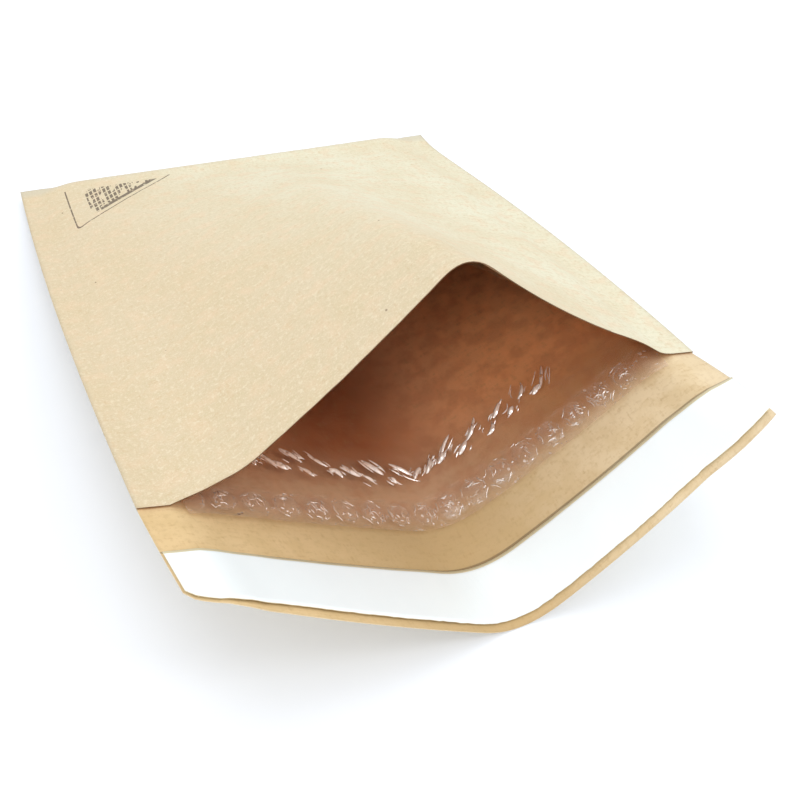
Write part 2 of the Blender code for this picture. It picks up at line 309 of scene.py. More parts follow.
def bend_panels():
    """Both panels, in place: the back one runs on into the flap."""
    us = np.linspace(-HALF_WIDTH, HALF_WIDTH, round(WIDTH / TABLE_STEP) + 1)
    vs = np.linspace(0, FULL_LENGTH, round(FULL_LENGTH / TABLE_STEP) + 1)
    step = us[1] - us[0]
    inner = np.abs(us) <= POCKET_HALF_WIDTH
    first, last = np.flatnonzero(inner)[[0, -1]]
    middle = len(us) // 2
    across = swell((POCKET_HALF_WIDTH - np.abs(us)) / SIDE_TAPER)
    tables = {"back": ([], []), "front": ([], [])}
    for v in vs:
        open_share = opening(v)
        back_x, back_z = section(back_slopes(us, v) * open_share, step)
        front_x, front_z = section(front_slopes(us) * open_share, step)
        back_x = back_x - back_x[middle]
        # The front panel is turned and fitted between the seams of the back panel
        wanted = complex(back_x[last] - back_x[first], back_z[last] - back_z[first])
        found = complex(front_x[last] - front_x[first], front_z[last] - front_z[first])
        line = (front_x - front_x[first] + 1j * (front_z - front_z[first])) * wanted / found
        front_x = np.where(inner, line.real + back_x[first], back_x)
        front_z = np.where(inner, line.imag + back_z[first], back_z)
        # The whole section is lifted until its lowest padding would touch the floor
        low = back_z.min() - PADDED_THICKNESS / 2
        past_fold = swell(v / END_TAPER)
        swollen = (PADDED_THICKNESS - SEAM_THICKNESS) * past_fold
        thickness = SEAM_THICKNESS + across * (swollen - (SEAM_THICKNESS - FOLD_GAP) * (1 - past_fold))
        back_z = back_z - thickness / 2
        front_z = front_z + thickness / 2
        tables["back"][0].append(back_x)
        tables["back"][1].append(back_z - low)
        tables["front"][0].append(front_x)
        tables["front"][1].append(front_z - low)
    back = Panel(us, vs, *(np.array(t) for t in tables["back"]), inward=1.0)
    front = Panel(us, vs, *(np.array(t) for t in tables["front"]), inward=-1.0)
    centre = (back.points[..., 1].max() + back.points[..., 1].min()) / 2
    back.points[..., 1] -= centre
    front.points[..., 1] -= centre
    return back, front


BACK, FRONT = bend_panels()


def room(u, v):
    """Height between the two panels' outer faces."""
    return np.linalg.norm(FRONT.outer(u, v) - BACK.outer(u, v), axis=-1)


# Shader arithmetic

class Value:
    """Socket of a shader node that takes part in plain arithmetic."""

    def __init__(self, shader, socket):
        self.shader = shader
        self.socket = socket

    def math(self, operation, *terms):
        return self.shader.node("ShaderNodeMath", {"operation": operation}, dict(enumerate(terms)))

    def __add__(self, other):
        return self.math("ADD", self, other)

    def __sub__(self, other):
        return self.math("SUBTRACT", self, other)

    def __rsub__(self, other):
        return self.math("SUBTRACT", other, self)

    def __mul__(self, other):
        return self.math("MULTIPLY", self, other)

    def __truediv__(self, other):
        return self.math("DIVIDE", self, other)

    def __pow__(self, other):
        return self.math("POWER", self, other)

    def __abs__(self):
        return self.math("ABSOLUTE", self)

    def below(self, other):
        return self.math("LESS_THAN", self, other)

    def above(self, other):
        return self.math("GREATER_THAN", self, other)

    def least(self, other):
        return self.math("MINIMUM", self, other)

    def most(self, other):
        return self.math("MAXIMUM", self, other)

    def ramp(self, low, high):
        """0 at low, 1 at high, smooth between."""
        settings = {"interpolation_type": "SMOOTHSTEP"}
        return self.shader.node("ShaderNodeMapRange", settings, {0: self, 1: low, 2: high})

    def rounded(self):
        """The nearest whole number."""
        return self.math("ROUND", self)

    def fraction(self):
        """What is left over from whole numbers."""
        return self.math("FRACT", self)

    def to_and_fro(self, top):
        """Rises to the top and falls back to 0, again and again."""
        return self.math("PINGPONG", self, top)

    __radd__ = __add__
    __rmul__ = __mul__


class Shader:
    """Node tree of one material."""

    def __init__(self, name):
        self.material = bpy.data.materials.new(name)
        self.material.use_nodes = True
        self.tree = self.material.node_tree
        self.surface = self.tree.nodes["Principled BSDF"]
        self.output = self.tree.nodes["Material Output"]

    def node(self, kind, settings=None, values=None, output=0):
        """Adds a node: its settings first, then its sockets' values or links."""
        made = self.tree.nodes.new(kind)
        for name, setting in (settings or {}).items():
            setattr(made, name, setting)
        self.feed(made, values or {})
        return Value(self, made.outputs[output])

    def feed(self, made, values):
        for key, value in values.items():
            socket = made.inputs[key]
            if isinstance(value, Value):
                self.tree.links.new(value.socket, socket)
            elif isinstance(value, tuple) and socket.type == "RGBA":
                socket.default_value = (*value, 1.0)
            else:
                socket.default_value = value

    def show(self, surface):
        """Makes this the surface of the material."""
        self.tree.links.new(surface.socket, self.output.inputs["Surface"])

    def sheet(self):
        """Place on the flat sheet, its u and v and the panel's number."""
        place = self.node("ShaderNodeAttribute", {"attribute_name": "sheet"}, output=1)
        parts = self.tree.nodes.new("ShaderNodeSeparateXYZ")
        self.feed(parts, {0: place})
        return (place, *(Value(self, output) for output in parts.outputs))

    def noise(self, place, scale, detail=3.0, roughness=0.55, distortion=0.0):
        values = {"Vector": place, "Scale": scale, "Detail": detail, "Roughness": roughness,
                  "Distortion": distortion}
        return self.node("ShaderNodeTexNoise", {}, values)

    def stretched(self, place, factors):
        """The same place with each axis multiplied."""
        return self.node("ShaderNodeVectorMath", {"operation": "MULTIPLY"}, {0: place, 1: factors})

    def mix(self, share, first, second):
        """Colour between two colours."""
        return self.node("ShaderNodeMix", {"data_type": "RGBA"}, {0: share, 6: first, 7: second}, 2)

    def join(self, x, y, z):
        return self.node("ShaderNodeCombineXYZ", {}, {0: x, 1: y, 2: z})

    def smooth_least(self, first, second, distance):
        settings = {"operation": "SMOOTH_MIN"}
        return self.node("ShaderNodeMath", settings, {0: first, 1: second, 2: distance})

    def bubble_distance(self, u, v):
        """Distance to the middle of the nearest bubble of the lining, in bubble radii."""
        nearest = None
        for shift in (-0.5, 0.5):
            # The two rows of bubbles on either side of this place
            row = ((v - LINING_END_INSET) / BUBBLE_ROW_PITCH - 0.5).rounded() + (shift + 0.5)
            odd = row.to_and_fro(1.0)
            column = (u / BUBBLE_PITCH - odd * 0.5).rounded()
            across = u - (column + odd * 0.5) * BUBBLE_PITCH
            along = v - LINING_END_INSET - row * BUBBLE_ROW_PITCH
            distance = (across * across + along * along) ** 0.5 / BUBBLE_RADIUS
            nearest = distance if nearest is None else nearest.least(distance)
        return nearest

    def bump(self, height, strength, distance):
        values = {"Height": height, "Strength": strength, "Distance": distance}
        return self.node("ShaderNodeBump", {}, values)


def linear(red, green, blue):
    """Colour as seen, from 0 to 255, turned into the renderer's linear values."""
    return tuple(
        c / 255 / 12.92 if c <= 10 else ((c / 255 + 0.055) / 1.055) ** 2.4
        for c in (red, green, blue)
    )


# Finishes

def kraft_fibres(shader, place):
    """Cloudy sheet formation, short fibres and fine grain of kraft paper, each from 0 to 1."""
    clouds = shader.noise(place, 26.0, detail=4.0, roughness=0.6)
    across = shader.noise(shader.stretched(place, (1.0, 0.22, 1.0)), 900.0, detail=2.0)
    along = shader.noise(shader.stretched(place, (0.22, 1.0, 1.0)), 700.0, detail=2.0)
    grain = shader.noise(place, 1500.0, detail=2.0)
    return clouds, (across + along) / 2, grain


def dark_specks(shader, place):
    """Few dark splinters in the pulp."""
    cells = shader.node("ShaderNodeTexVoronoi", {"feature": "F1"},
                        {"Vector": shader.stretched(place, (1.0, 0.6, 1.0)), "Scale": 70.0})
    thinned = shader.noise(place, 19.0, detail=0.0)
    return cells.below(0.030) * thinned.above(0.55)


def plain_print(shader, u, v):
    """Two sides of a plain triangular frame with plain bars in it, near the closed end."""
    from_left = u + PRINT_CORNER[0]
    from_end = v - PRINT_CORNER[1]
    to_slope = (1 - from_left / PRINT_SIZE[0] - from_end / PRINT_SIZE[1]) * PRINT_BREADTH
    corner = shader.smooth_least(from_left, to_slope, 5 * MM)
    inside = shader.smooth_least(corner, from_end, 4 * MM)
    outline = abs(corner).below(PRINT_LINE) * from_end.above(0.5 * MM)
    along = (from_left / BAR_PITCH).fraction()
    rows = (to_slope / BAR_ROW_PITCH).fraction()
    bars = along.below(0.68) * rows.below(0.80)
    bars = bars * inside.above(PRINT_MARGIN) * from_left.above(BARS_START)
    band = to_slope.above(PRINT_MARGIN) * to_slope.below(BAND_TOP)
    band = band * from_left.above(BAND_START) * from_end.above(PRINT_MARGIN)
    spot = shader.join(from_left, from_end * 0.3, 0.0)
    gaps = shader.node("ShaderNodeTexNoise", {}, {"Vector": spot, "Scale": 260.0, "Detail": 0.0})
    return outline.most(bars * gaps.above(0.42)).most(band)


def kraft_outside():
    """Outside of the paper: lighter towards the right, partly as painted light, with the printed mark.
    """
    shader = Shader("kraft_outside")
    place, u, v, _ = shader.sheet()
    clouds, fibres, grain = kraft_fibres(shader, place)
    blotches = shader.noise(place, 130.0, detail=3.0, roughness=0.6)
    flecks = shader.noise(place, 520.0, detail=3.0, roughness=0.7)
    # Partly painted light: paler towards the right and the closed end, as if lit more there; partly the
    # paper's own tone
    lit_side = (u / WIDTH + 0.5 - v / POCKET_LENGTH * 0.45).ramp(-0.1, 0.60)
    base = shader.mix(lit_side, linear(218, 201, 169), linear(231, 228, 203))
    base = shader.mix(clouds.ramp(0.35, 0.70) * 0.4, base, linear(216, 196, 156))
    base = shader.mix(blotches.ramp(0.46, 0.66) * 0.42, base, linear(232, 205, 172))
    base = shader.mix(flecks.ramp(0.50, 0.64) * 0.35, base, linear(206, 194, 154))
    base = shader.mix(flecks.ramp(0.46, 0.36) * 0.4, base, linear(241, 229, 200))
    base = shader.mix(fibres.ramp(0.52, 0.68) * 0.45, base, linear(208, 182, 142))
    base = shader.mix(grain.ramp(0.50, 0.70) * 0.35, base, linear(244, 234, 210))
    # Painted shade: a greyer band along the fold at the closed end, where the paper turns down away
    # from the light
    fold_shade = 1 - v.ramp(3 * MM, 9 * MM)
    base = shader.mix(fold_shade * 0.6, base, linear(208, 202, 182))
    base = shader.mix(dark_specks(shader, place) * 0.6, base, linear(112, 86, 62))
    ink = plain_print(shader, u, v) * v.below(PRINT_LENGTH) * u.below(0.0)
    worn = shader.noise(place, 420.0).ramp(0.30, 0.45)
    base = shader.mix(ink * worn * 0.8, base, linear(84, 70, 62))
    base = shader.mix(KRAFT_DARKENING, base, BLACK)
    height = fibres * 0.5 + grain * 0.3 + clouds * 0.6 + flecks * 0.9
    normal = shader.bump(height, 0.40, 0.30 * MM)
    shader.feed(shader.surface, {"Base Color": base, "Roughness": 0.72 + fibres * 0.12,
                                 "Normal": normal, "Specular IOR Level": 0.28})
    return shader.material


def kraft_inside():
    """Inside of the paper: the bare flap, and the brown pocket under the film, both with painted light
    and shade.
    """
    shader = Shader("kraft_inside")
    place, u, v, _ = shader.sheet()
    clouds, fibres, grain = kraft_fibres(shader, place)
    blotches = shader.noise(place, 90.0, detail=3.0, roughness=0.6)
    flecks = shader.noise(place, 420.0, detail=3.0, roughness=0.7)
    # Painted light and shade on the bare flap: darker towards the valley on the left half, paler on the
    # right half, as if lit more there
    left_flap = shader.mix(u.ramp(-90 * MM, -10 * MM), linear(228, 198, 148), linear(208, 178, 129))
    flap = shader.mix(u.ramp(0.0, 80 * MM), left_flap, linear(233, 211, 172))
    flap = shader.mix(blotches.ramp(0.40, 0.64) * 0.30, flap, linear(205, 175, 122))
    flap = shader.mix(flecks.ramp(0.50, 0.64) * 0.20, flap, linear(188, 158, 112))
    shaded = abs(v - (POCKET_LENGTH + LINER_OFFSET - 1.0 * MM)).below(0.45 * MM)
    flap = shader.mix(shaded * 0.55, flap, linear(112, 98, 74))
    # Paler band along the flap's right seam: the trace of the seal, partly a painted highlight
    seal_and_sheen = u.ramp(POCKET_HALF_WIDTH - 2 * MM, POCKET_HALF_WIDTH + 3 * MM)
    flap = shader.mix(seal_and_sheen * 0.25, flap, linear(238, 222, 192))
    flap = shader.mix(KRAFT_DARKENING, flap, BLACK)
    # Painted light and shade in the pocket: paler towards the right and darker in a core deep inside,
    # lighter near the mouth, where the light comes in
    side = shader.mix(u.ramp(0.0, 65 * MM), linear(234, 170, 126), linear(248, 178, 122))
    shade_core = 1 - abs(u + 26 * MM).ramp(8 * MM, 56 * MM)
    deep_shade = shader.mix(shade_core, side, linear(166, 98, 60))
    near_mouth = v.ramp(*PAINTED_LIGHT_ZONE)
    mouth_light = shader.mix(u.ramp(0.0, 80 * MM), linear(216, 176, 140), linear(196, 142, 92))
    pocket = shader.mix(near_mouth, deep_shade, mouth_light)
    pocket = shader.mix(blotches.ramp(0.42, 0.62) * 0.30, pocket, linear(186, 116, 76))
    under_film = 1 - v.ramp(*FILM_END_ZONE)
    base = shader.mix(under_film, flap, pocket)
    base = shader.mix(fibres.ramp(0.52, 0.70) * 0.35, base, linear(176, 140, 92))
    base = shader.mix(dark_specks(shader, place) * 0.7, base, linear(92, 64, 42))
    height = fibres * 0.5 + grain * 0.3 + clouds * 0.6
    normal = shader.bump(height, 0.30, 0.25 * MM)
    shader.feed(shader.surface, {"Base Color": base, "Roughness": 0.70 + fibres * 0.12,
                                 "Normal": normal, "Specular IOR Level": 0.3})
    return shader.material


def paper_edge():
    """Cut edge of the paper, painted dark on the front panel as the shadow line along the mouth's edge.
    """
    shader = Shader("paper_edge")
    place, _, _, panel = shader.sheet()
    torn = shader.noise(place, 1800.0, detail=2.0)
    pale = shader.mix(torn, linear(206, 180, 140), linear(236, 220, 190))
    # Painted shade: the front panel's cut edge along the mouth is painted dark as its shadow line
    base = shader.mix(panel, pale, linear(122, 90, 60))
    normal = shader.bump(torn, 0.4, 0.1 * MM)
    shader.feed(shader.surface, {"Base Color": base, "Roughness": 0.85, "Normal": normal})
    return shader.material


def glossy_skin(shader, film, reflection, roughness, normal):
    """The film with a clear gloss over it, stronger where it is seen at a slant."""
    gloss = shader.node("ShaderNodeBsdfPrincipled", {}, {
        "Base Color": (1.0, 1.0, 1.0), "Metallic": 1.0, "Normal": normal, "Roughness": roughness})
    facing = shader.node("ShaderNodeLayerWeight", {}, {"Blend": 0.5, "Normal": normal}, output=1)
    mirrored = reflection * (1 + 8 * facing ** 4)
    return shader.node("ShaderNodeMixShader", {}, {0: mirrored, 1: film, 2: gloss})


def film_skin(name, mouth_share):
    """Clear film: a veil near the mouth, and crumpled bubbles in the row along its edge, with painted
    highlights round them.
    """
    shader = Shader(name)
    place, u, v, _ = shader.sheet()
    near_mouth = v.ramp(*VEIL_ZONE) * mouth_share
    edge_row = v.ramp(*EDGE_ROW_ZONE) * mouth_share
    clouds = shader.noise(place, 60.0, detail=3.0)
    drawn_out = shader.stretched(place, (0.25, 1.0, 1.0))
    streaks = shader.noise(drawn_out, 190.0, detail=3.0, distortion=0.6)
    crumple = shader.noise(place, 210.0, detail=3.0, roughness=0.6)
    slips = shader.noise(place, 95.0, detail=1.0)
    distance = shader.bubble_distance(u, v) + (crumple - 0.5) * 1.3 + (slips - 0.5) * 0.8
    within = 1 - distance.ramp(0.95, 1.35)
    # Whitish arcs round the edge row's bubbles: crumpled film, partly painted highlight
    rings = (distance * 1.9 + crumple).to_and_fro(0.5)
    broken = shader.noise(place, 300.0, detail=2.0).ramp(0.50, 0.58)
    scribble = (1 - rings.ramp(0.03, 0.12)) * broken * within * edge_row
    # Painted highlights: bright white spots round the edge row's bubbles, in the colour and the veil
    cells = shader.node("ShaderNodeTexVoronoi", {"feature": "F1"}, {"Vector": place, "Scale": 520.0})
    spread = shader.noise(place, 170.0, detail=1.0).ramp(0.56, 0.64)
    sparks = cells.below(0.30) * spread * within * edge_row
    veil = 0.012 + near_mouth * 0.07 * clouds.ramp(0.30, 0.70)
    veil = veil + near_mouth * streaks.ramp(0.55, 0.75) * 0.08 + edge_row * (0.09 + within * 0.12)
    veil = veil + scribble * 0.22 + sparks * 0.7
    soft = shader.noise(place, 55.0, detail=2.0)
    height = soft * 0.8 + crumple * edge_row * 1.3 + streaks * near_mouth * 0.35
    normal = shader.bump(height, 0.5, 0.9 * MM)
    base = shader.mix(scribble.most(sparks), linear(226, 196, 170), linear(255, 240, 224))
    shader.feed(shader.surface, {"Base Color": base, "Roughness": 0.4, "Normal": normal})
    clear = shader.node("ShaderNodeBsdfTransparent", {}, {"Color": linear(253, 250, 247)})
    milky = Value(shader, shader.surface.outputs[0])
    film = shader.node("ShaderNodeMixShader", {}, {0: veil, 1: clear, 2: milky})
    reflection = 0.03 + near_mouth * 0.03 + sparks * 0.4 + scribble * 0.10
    shader.show(glossy_skin(shader, film, reflection, 0.16 + clouds * 0.12, normal))
    return shader.material


def bubble_skin(name):
    """Film of the bubbles: all but invisible, because it lies against the other film."""
    shader = Shader(name)
    place, _, v, _ = shader.sheet()
    edge_row = v.ramp(*EDGE_ROW_ZONE)
    crumple = shader.noise(place, 240.0, detail=3.0)
    normal = shader.bump(crumple, 0.5, 0.6 * MM)
    pale = linear(232, 216, 202)
    shader.feed(shader.surface, {"Base Color": pale, "Roughness": 0.4, "Normal": normal})
    clear = shader.node("ShaderNodeBsdfTransparent", {}, {"Color": (1.0, 1.0, 1.0)})
    milky = Value(shader, shader.surface.outputs[0])
    veil = 0.006 + edge_row * crumple.ramp(0.50, 0.68) * 0.22
    film = shader.node("ShaderNodeMixShader", {}, {0: veil, 1: clear, 2: milky})
    shader.show(glossy_skin(shader, film, 0.004 + edge_row * 0.03, 0.15 + crumple * 0.1, normal))
    return shader.material


def crease_skin(name, most_veil):
    """Film that is doubled over in a crease: whiter, partly as a painted highlight, with bright glints.
    """
    shader = Shader(name)
    place, u, _, _ = shader.sheet()
    uneven = shader.noise(place, 500.0, detail=2.0)
    normal = shader.bump(uneven, 0.4, 0.3 * MM)
    # Partly painted highlight: the crease is painted milky white, whiter on the right where the glints
    # are brightest, pinker on the left
    pink = shader.mix(u.ramp(-30 * MM, 20 * MM), linear(250, 218, 198), linear(255, 246, 236))
    base = shader.mix(uneven, pink, linear(255, 238, 222))
    shader.feed(shader.surface, {"Base Color": base, "Roughness": 0.25, "Normal": normal})
    clear = shader.node("ShaderNodeBsdfTransparent", {}, {"Color": linear(253, 250, 247)})
    milky = Value(shader, shader.surface.outputs[0])
    veil = uneven.ramp(0.20, 0.50) * most_veil
    film = shader.node("ShaderNodeMixShader", {}, {0: veil, 1: clear, 2: milky})
    shine = 0.20 + u.ramp(-20 * MM, 25 * MM) * 0.12
    shader.show(glossy_skin(shader, film, shine, 0.10 + uneven * 0.08, normal))
    return shader.material


def release_paper():
    """Bluish white paper with a cream rim on the side of the mouth."""
    shader = Shader("release_paper")
    place, u, v, _ = shader.sheet()
    fine = shader.noise(place, 1100.0, detail=2.0)
    soft = shader.noise(shader.stretched(place, (1.0, 0.3, 1.0)), 70.0, detail=2.0)
    near_valley = 1 - abs(u).ramp(4 * MM, 26 * MM)
    drawn_out = shader.stretched(place, (1.0, 0.2, 1.0))
    creases = shader.noise(drawn_out, 260.0, detail=2.0) * near_valley
    base = shader.mix(soft, linear(245, 252, 252), linear(240, 247, 248))
    upper_rim = v.below(POCKET_LENGTH + LINER_OFFSET + LINER_RIM)
    base = shader.mix(upper_rim * 0.9, base, linear(226, 212, 168))
    height = creases * 1.2 + soft * 0.6 + fine * 0.08
    normal = shader.bump(height, 0.35, 0.6 * MM)
    shader.feed(shader.surface, {"Base Color": base, "Roughness": 0.34 + soft * 0.10, "Normal": normal})
    return shader.material


def liner_edge():
    shader = Shader("liner_edge")
    place = shader.sheet()[0]
    fine = shader.noise(place, 900.0)
    base = shader.mix(fine, linear(240, 232, 205), linear(226, 214, 182))
    shader.feed(shader.surface, {"Base Color": base, "Roughness": 0.6})
    return shader.material


def flap_glue():
    shader = Shader("flap_glue")
    place = shader.sheet()[0]
    lines = shader.noise(shader.stretched(place, (0.1, 1.0, 1.0)), 500.0)
    base = shader.mix(lines, linear(236, 226, 196), linear(222, 208, 170))
    normal = shader.bump(lines, 0.3, 0.2 * MM)
    shader.feed(shader.surface, {"Base Color": base, "Roughness": 0.35, "Normal": normal})
    return shader.material


# Pieces

def add_piece(name, points, faces, sheet, materials):
    """Mesh object with its place on the flat sheet kept for the finishes."""
    mesh = bpy.data.meshes.new(name)
    mesh.from_pydata([tuple(p) for p in points], [], faces)
    mesh.update()
    attribute = mesh.attributes.new("sheet", "FLOAT_VECTOR", "POINT")
    attribute.data.foreach_set("vector", np.asarray(sheet, dtype=np.float32).ravel())
    for material in materials:
        mesh.materials.append(material)
    mesh.polygons.foreach_set("use_smooth", [True] * len(mesh.polygons))
    obj = bpy.data.objects.new(name, mesh)
    bpy.context.scene.collection.objects.link(obj)
    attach(obj, "root")
    return obj


def face_outwards(obj):
    """Turns the faces of a closed or open mesh so that its normals agree and point outwards."""
    bm = bmesh.new()
    bm.from_mesh(obj.data)
    bmesh.ops.recalc_face_normals(bm, faces=bm.faces)
    bm.to_mesh(obj.data)
    bm.free()


def stations(start, end, step, keep=()):
    """Places from start to end, at most a step apart, with the kept ones among them."""
    marks = sorted({start, end, *keep})
    runs = [np.linspace(a, b, max(1, math.ceil((b - a) / step)) + 1)[:-1]
            for a, b in zip(marks, marks[1:])]
    return np.concatenate(runs + [[end]])


def grid_faces(rows, columns, first=0):
    """Quads of a grid whose points run along each row."""
    return [(first + j * columns + i, first + j * columns + i + 1,
             first + (j + 1) * columns + i + 1, first + (j + 1) * columns + i)
            for j in range(rows - 1) for i in range(columns - 1)]


def slow_waves(u, v, seed):
    """Gentle unevenness of a handled sheet, about 1 high."""
    source = np.random.default_rng(seed)
    total = np.zeros_like(u)
    for length in WAVE_LENGTHS:
        angle, phase = source.uniform(0, math.pi), source.uniform(0, 2 * math.pi)
        along = (u * math.cos(angle) + v * math.sin(angle)) / (length * MM)
        total += np.sin(2 * math.pi * along + phase) * length / WAVE_LENGTHS[0]
    return total / WAVE_SUM


def bubble_relief(u, v, start):
    """Relief of the lining's bubbles at this place: 1 on a bubble, 0 between bubbles."""
    nearest = np.full(u.shape, 1.0)
    base_row = np.round((v - start) / BUBBLE_ROW_PITCH)
    for shift in (-1, 0, 1):
        row = base_row + shift
        offset = 0.5 * (row % 2)
        column = np.round(u / BUBBLE_PITCH - offset)
        du = u - (column + offset) * BUBBLE_PITCH
        dv = v - start - row * BUBBLE_ROW_PITCH
        nearest = np.minimum(nearest, np.hypot(du, dv))
    return np.clip(1 - (nearest / BUBBLE_RADIUS) ** 2, 0.0, 1.0)


def drawn_back(u, v, start, end, inset):
    """The same v, shortened between start and end where the flap's corner is worn round."""
    across, along = WORN_CORNER
    into_corner = np.clip((across - HALF_WIDTH - u) / across, 0.0, 1.0)
    edge = FULL_LENGTH - along * (1 - np.sqrt(1 - into_corner ** 2)) - inset
    share = np.clip((v - start) / (end - start), 0.0, 1.0)
    return v - share * np.maximum(end - edge, 0.0)


def kraft_paper_cover():
    """The folded sheet of the whole envelope, joined at its side seams."""
    us = stations(-HALF_WIDTH, HALF_WIDTH, PAPER_STEP, (-POCKET_HALF_WIDTH, POCKET_HALF_WIDTH))
    end_rows = stations(0.0, END_TAPER, PAPER_STEP / 2)
    vs = np.concatenate([end_rows[:-1], stations(END_TAPER, POCKET_LENGTH, PAPER_STEP)])
    flap_vs = stations(POCKET_LENGTH, FULL_LENGTH, PAPER_STEP)[1:]
    back_u, back_v = np.meshgrid(us, np.concatenate([vs, flap_vs]))
    back_v = drawn_back(back_u, back_v, FULL_LENGTH - WORN_LENGTH, FULL_LENGTH, 0.0)
    front_u, front_v = np.meshgrid(us, vs)
    pocket = ease((POCKET_HALF_WIDTH - abs(front_u)) / SIDE_TAPER) * ease(front_v / END_TAPER)
    quilting = bubble_relief(front_u, front_v, LINING_END_INSET)
    dent = pocket * (0.35 * slow_waves(front_u, front_v, PAPER_SEED) - 0.12 * quilting) * MM
    front_points = FRONT.place(front_u, front_v, np.maximum(dent, 0.0) * 0.8)
    back_points = BACK.outer(back_u, back_v)
    points = np.concatenate([back_points.reshape(-1, 3), front_points.reshape(-1, 3)])
    sheet = np.concatenate([
        np.stack([back_u, back_v, np.zeros_like(back_u)], -1).reshape(-1, 3),
        np.stack([front_u, front_v, np.ones_like(front_u)], -1).reshape(-1, 3),
    ])
    columns, back_rows, front_rows = len(us), back_u.shape[0], front_u.shape[0]
    first_front = columns * back_rows
    faces = grid_faces(back_rows, columns) + grid_faces(front_rows, columns, first_front)
    faces += [(i, i + 1, first_front + i + 1, first_front + i) for i in range(columns - 1)]
    for side in (0, columns - 1):
        rows = range(front_rows - 1)
        faces += [(side + j * columns, side + (j + 1) * columns,
                   first_front + side + (j + 1) * columns, first_front + side + j * columns)
                  for j in rows]
    cover = add_piece("kraft_paper_cover", points, faces, sheet,
                      [kraft_outside(), kraft_inside(), paper_edge()])
    face_outwards(cover)
    solidify = cover.modifiers.new("paper", "SOLIDIFY")
    solidify.thickness = VISIBLE_PAPER_THICKNESS
    solidify.offset = -1.0
    solidify.use_even_offset = True
    solidify.material_offset = 1
    solidify.material_offset_rim = 2
    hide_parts("back_panel", "front_panel")


def bubble_room(u, v):
    """Height that is left for a bubble between the panels."""
    left = room(u, v) / 2 - LINING_DEPTH - FILM_THICKNESS - PLY_GAP / 2
    return np.clip(left, LEAST_BUBBLE_HEIGHT, BUBBLE_HEIGHT)


def film_depth(u, v, seed, end):
    """Depth of the smooth film of a ply, drawn in a little between its bubbles."""
    pressed = ease((end - v) / (9 * MM))
    near_mouth = ease((v - end + 40 * MM) / (30 * MM))
    drawn_in = (0.04 + 0.12 * near_mouth) * (1 - bubble_relief(u, v, LINING_END_INSET))
    depth = LINING_DEPTH + bubble_room(u, v) * (0.62 + 0.38 * pressed) * (1 - drawn_in)
    return depth + 0.12 * slow_waves(u * 2.2, v * 1.3, seed) * MM


def film_place(panel, u, v, depth):
    """Place in the film, which reaches a little farther than its panel's mouth on the back."""
    if panel is BACK:
        end = POCKET_LENGTH - LINING_MOUTH_INSET
        v = v + FILM_REACH * np.clip((v - end) / REACHING_LENGTH + 1, 0.0, 1.0)
    return panel.place(u, v, depth)


def film_sheet(name, panel, material, seed, inset, node):
    """The smooth film of a ply, the side that faces the pocket."""
    half_width = POCKET_HALF_WIDTH - LINING_SIDE_INSET
    start, end = LINING_END_INSET, POCKET_LENGTH - inset
    fine = end - FINE_FILM_LENGTH
    us = stations(-half_width, half_width, FILM_STEP / 2)
    coarse_vs = stations(start, fine, FILM_STEP)[:-1]
    vs = np.concatenate([coarse_vs, stations(fine, end, FINE_FILM_STEP)])
    u, v = np.meshgrid(us, vs)
    points = film_place(panel, u, v, film_depth(u, v, seed, end))
    sheet = np.stack([u, v, np.full_like(u, seed)], -1).reshape(-1, 3)
    film = add_piece(name, points.reshape(-1, 3), grid_faces(len(vs), len(us)), sheet, [material])
    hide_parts(node)


def bubble_sheet(name, panel, material, seed, inset):
    """The round air bubbles of a ply, standing from the smooth film to the paper."""
    half_width = POCKET_HALF_WIDTH - LINING_SIDE_INSET
    start, end = LINING_END_INSET, POCKET_LENGTH - inset
    angles = np.arange(BUBBLE_SIDES) * 2 * math.pi / BUBBLE_SIDES
    rings = [(BUBBLE_RADIUS * math.cos(t), math.sin(t))
             for t in np.linspace(0, math.pi / 2, BUBBLE_RINGS + 1)[:-1]]
    columns = int(half_width / BUBBLE_PITCH) + 1
    centres = []
    for j in range(int((end - start) / BUBBLE_ROW_PITCH) + 1):
        for i in range(-columns, columns + 1):
            centres.append(((i + 0.5 * (j % 2)) * BUBBLE_PITCH, start + j * BUBBLE_ROW_PITCH))
    points_u, points_v, shares, faces = [], [], [], []
    for centre_u, centre_v in centres:
        if abs(centre_u) > half_width - 2 * MM:
            continue
        first = len(points_u)
        for radius, share in rings:
            points_u += list(np.clip(centre_u + radius * np.cos(angles), -half_width, half_width))
            points_v += list(np.clip(centre_v + radius * np.sin(angles), start, end))
            shares += [share] * BUBBLE_SIDES
        points_u.append(centre_u)
        points_v.append(centre_v)
        shares.append(1.0)
        for ring in range(BUBBLE_RINGS - 1):
            a = first + ring * BUBBLE_SIDES
            faces += [(a + k, a + (k + 1) % BUBBLE_SIDES,
                       a + BUBBLE_SIDES + (k + 1) % BUBBLE_SIDES, a + BUBBLE_SIDES + k)
                      for k in range(BUBBLE_SIDES)]
        a = first + (BUBBLE_RINGS - 1) * BUBBLE_SIDES
        faces += [(a + k, a + (k + 1) % BUBBLE_SIDES, len(points_u) - 1) for k in range(BUBBLE_SIDES)]
    u, v, share = np.array(points_u), np.array(points_v), np.array(shares)
    depth = LINING_DEPTH + bubble_room(u, v) * (1 - share) * 0.92
    sheet = np.stack([u, v, np.full_like(u, seed)], -1)
    bubbles = add_piece(name, film_place(panel, u, v, depth), faces, sheet, [material])


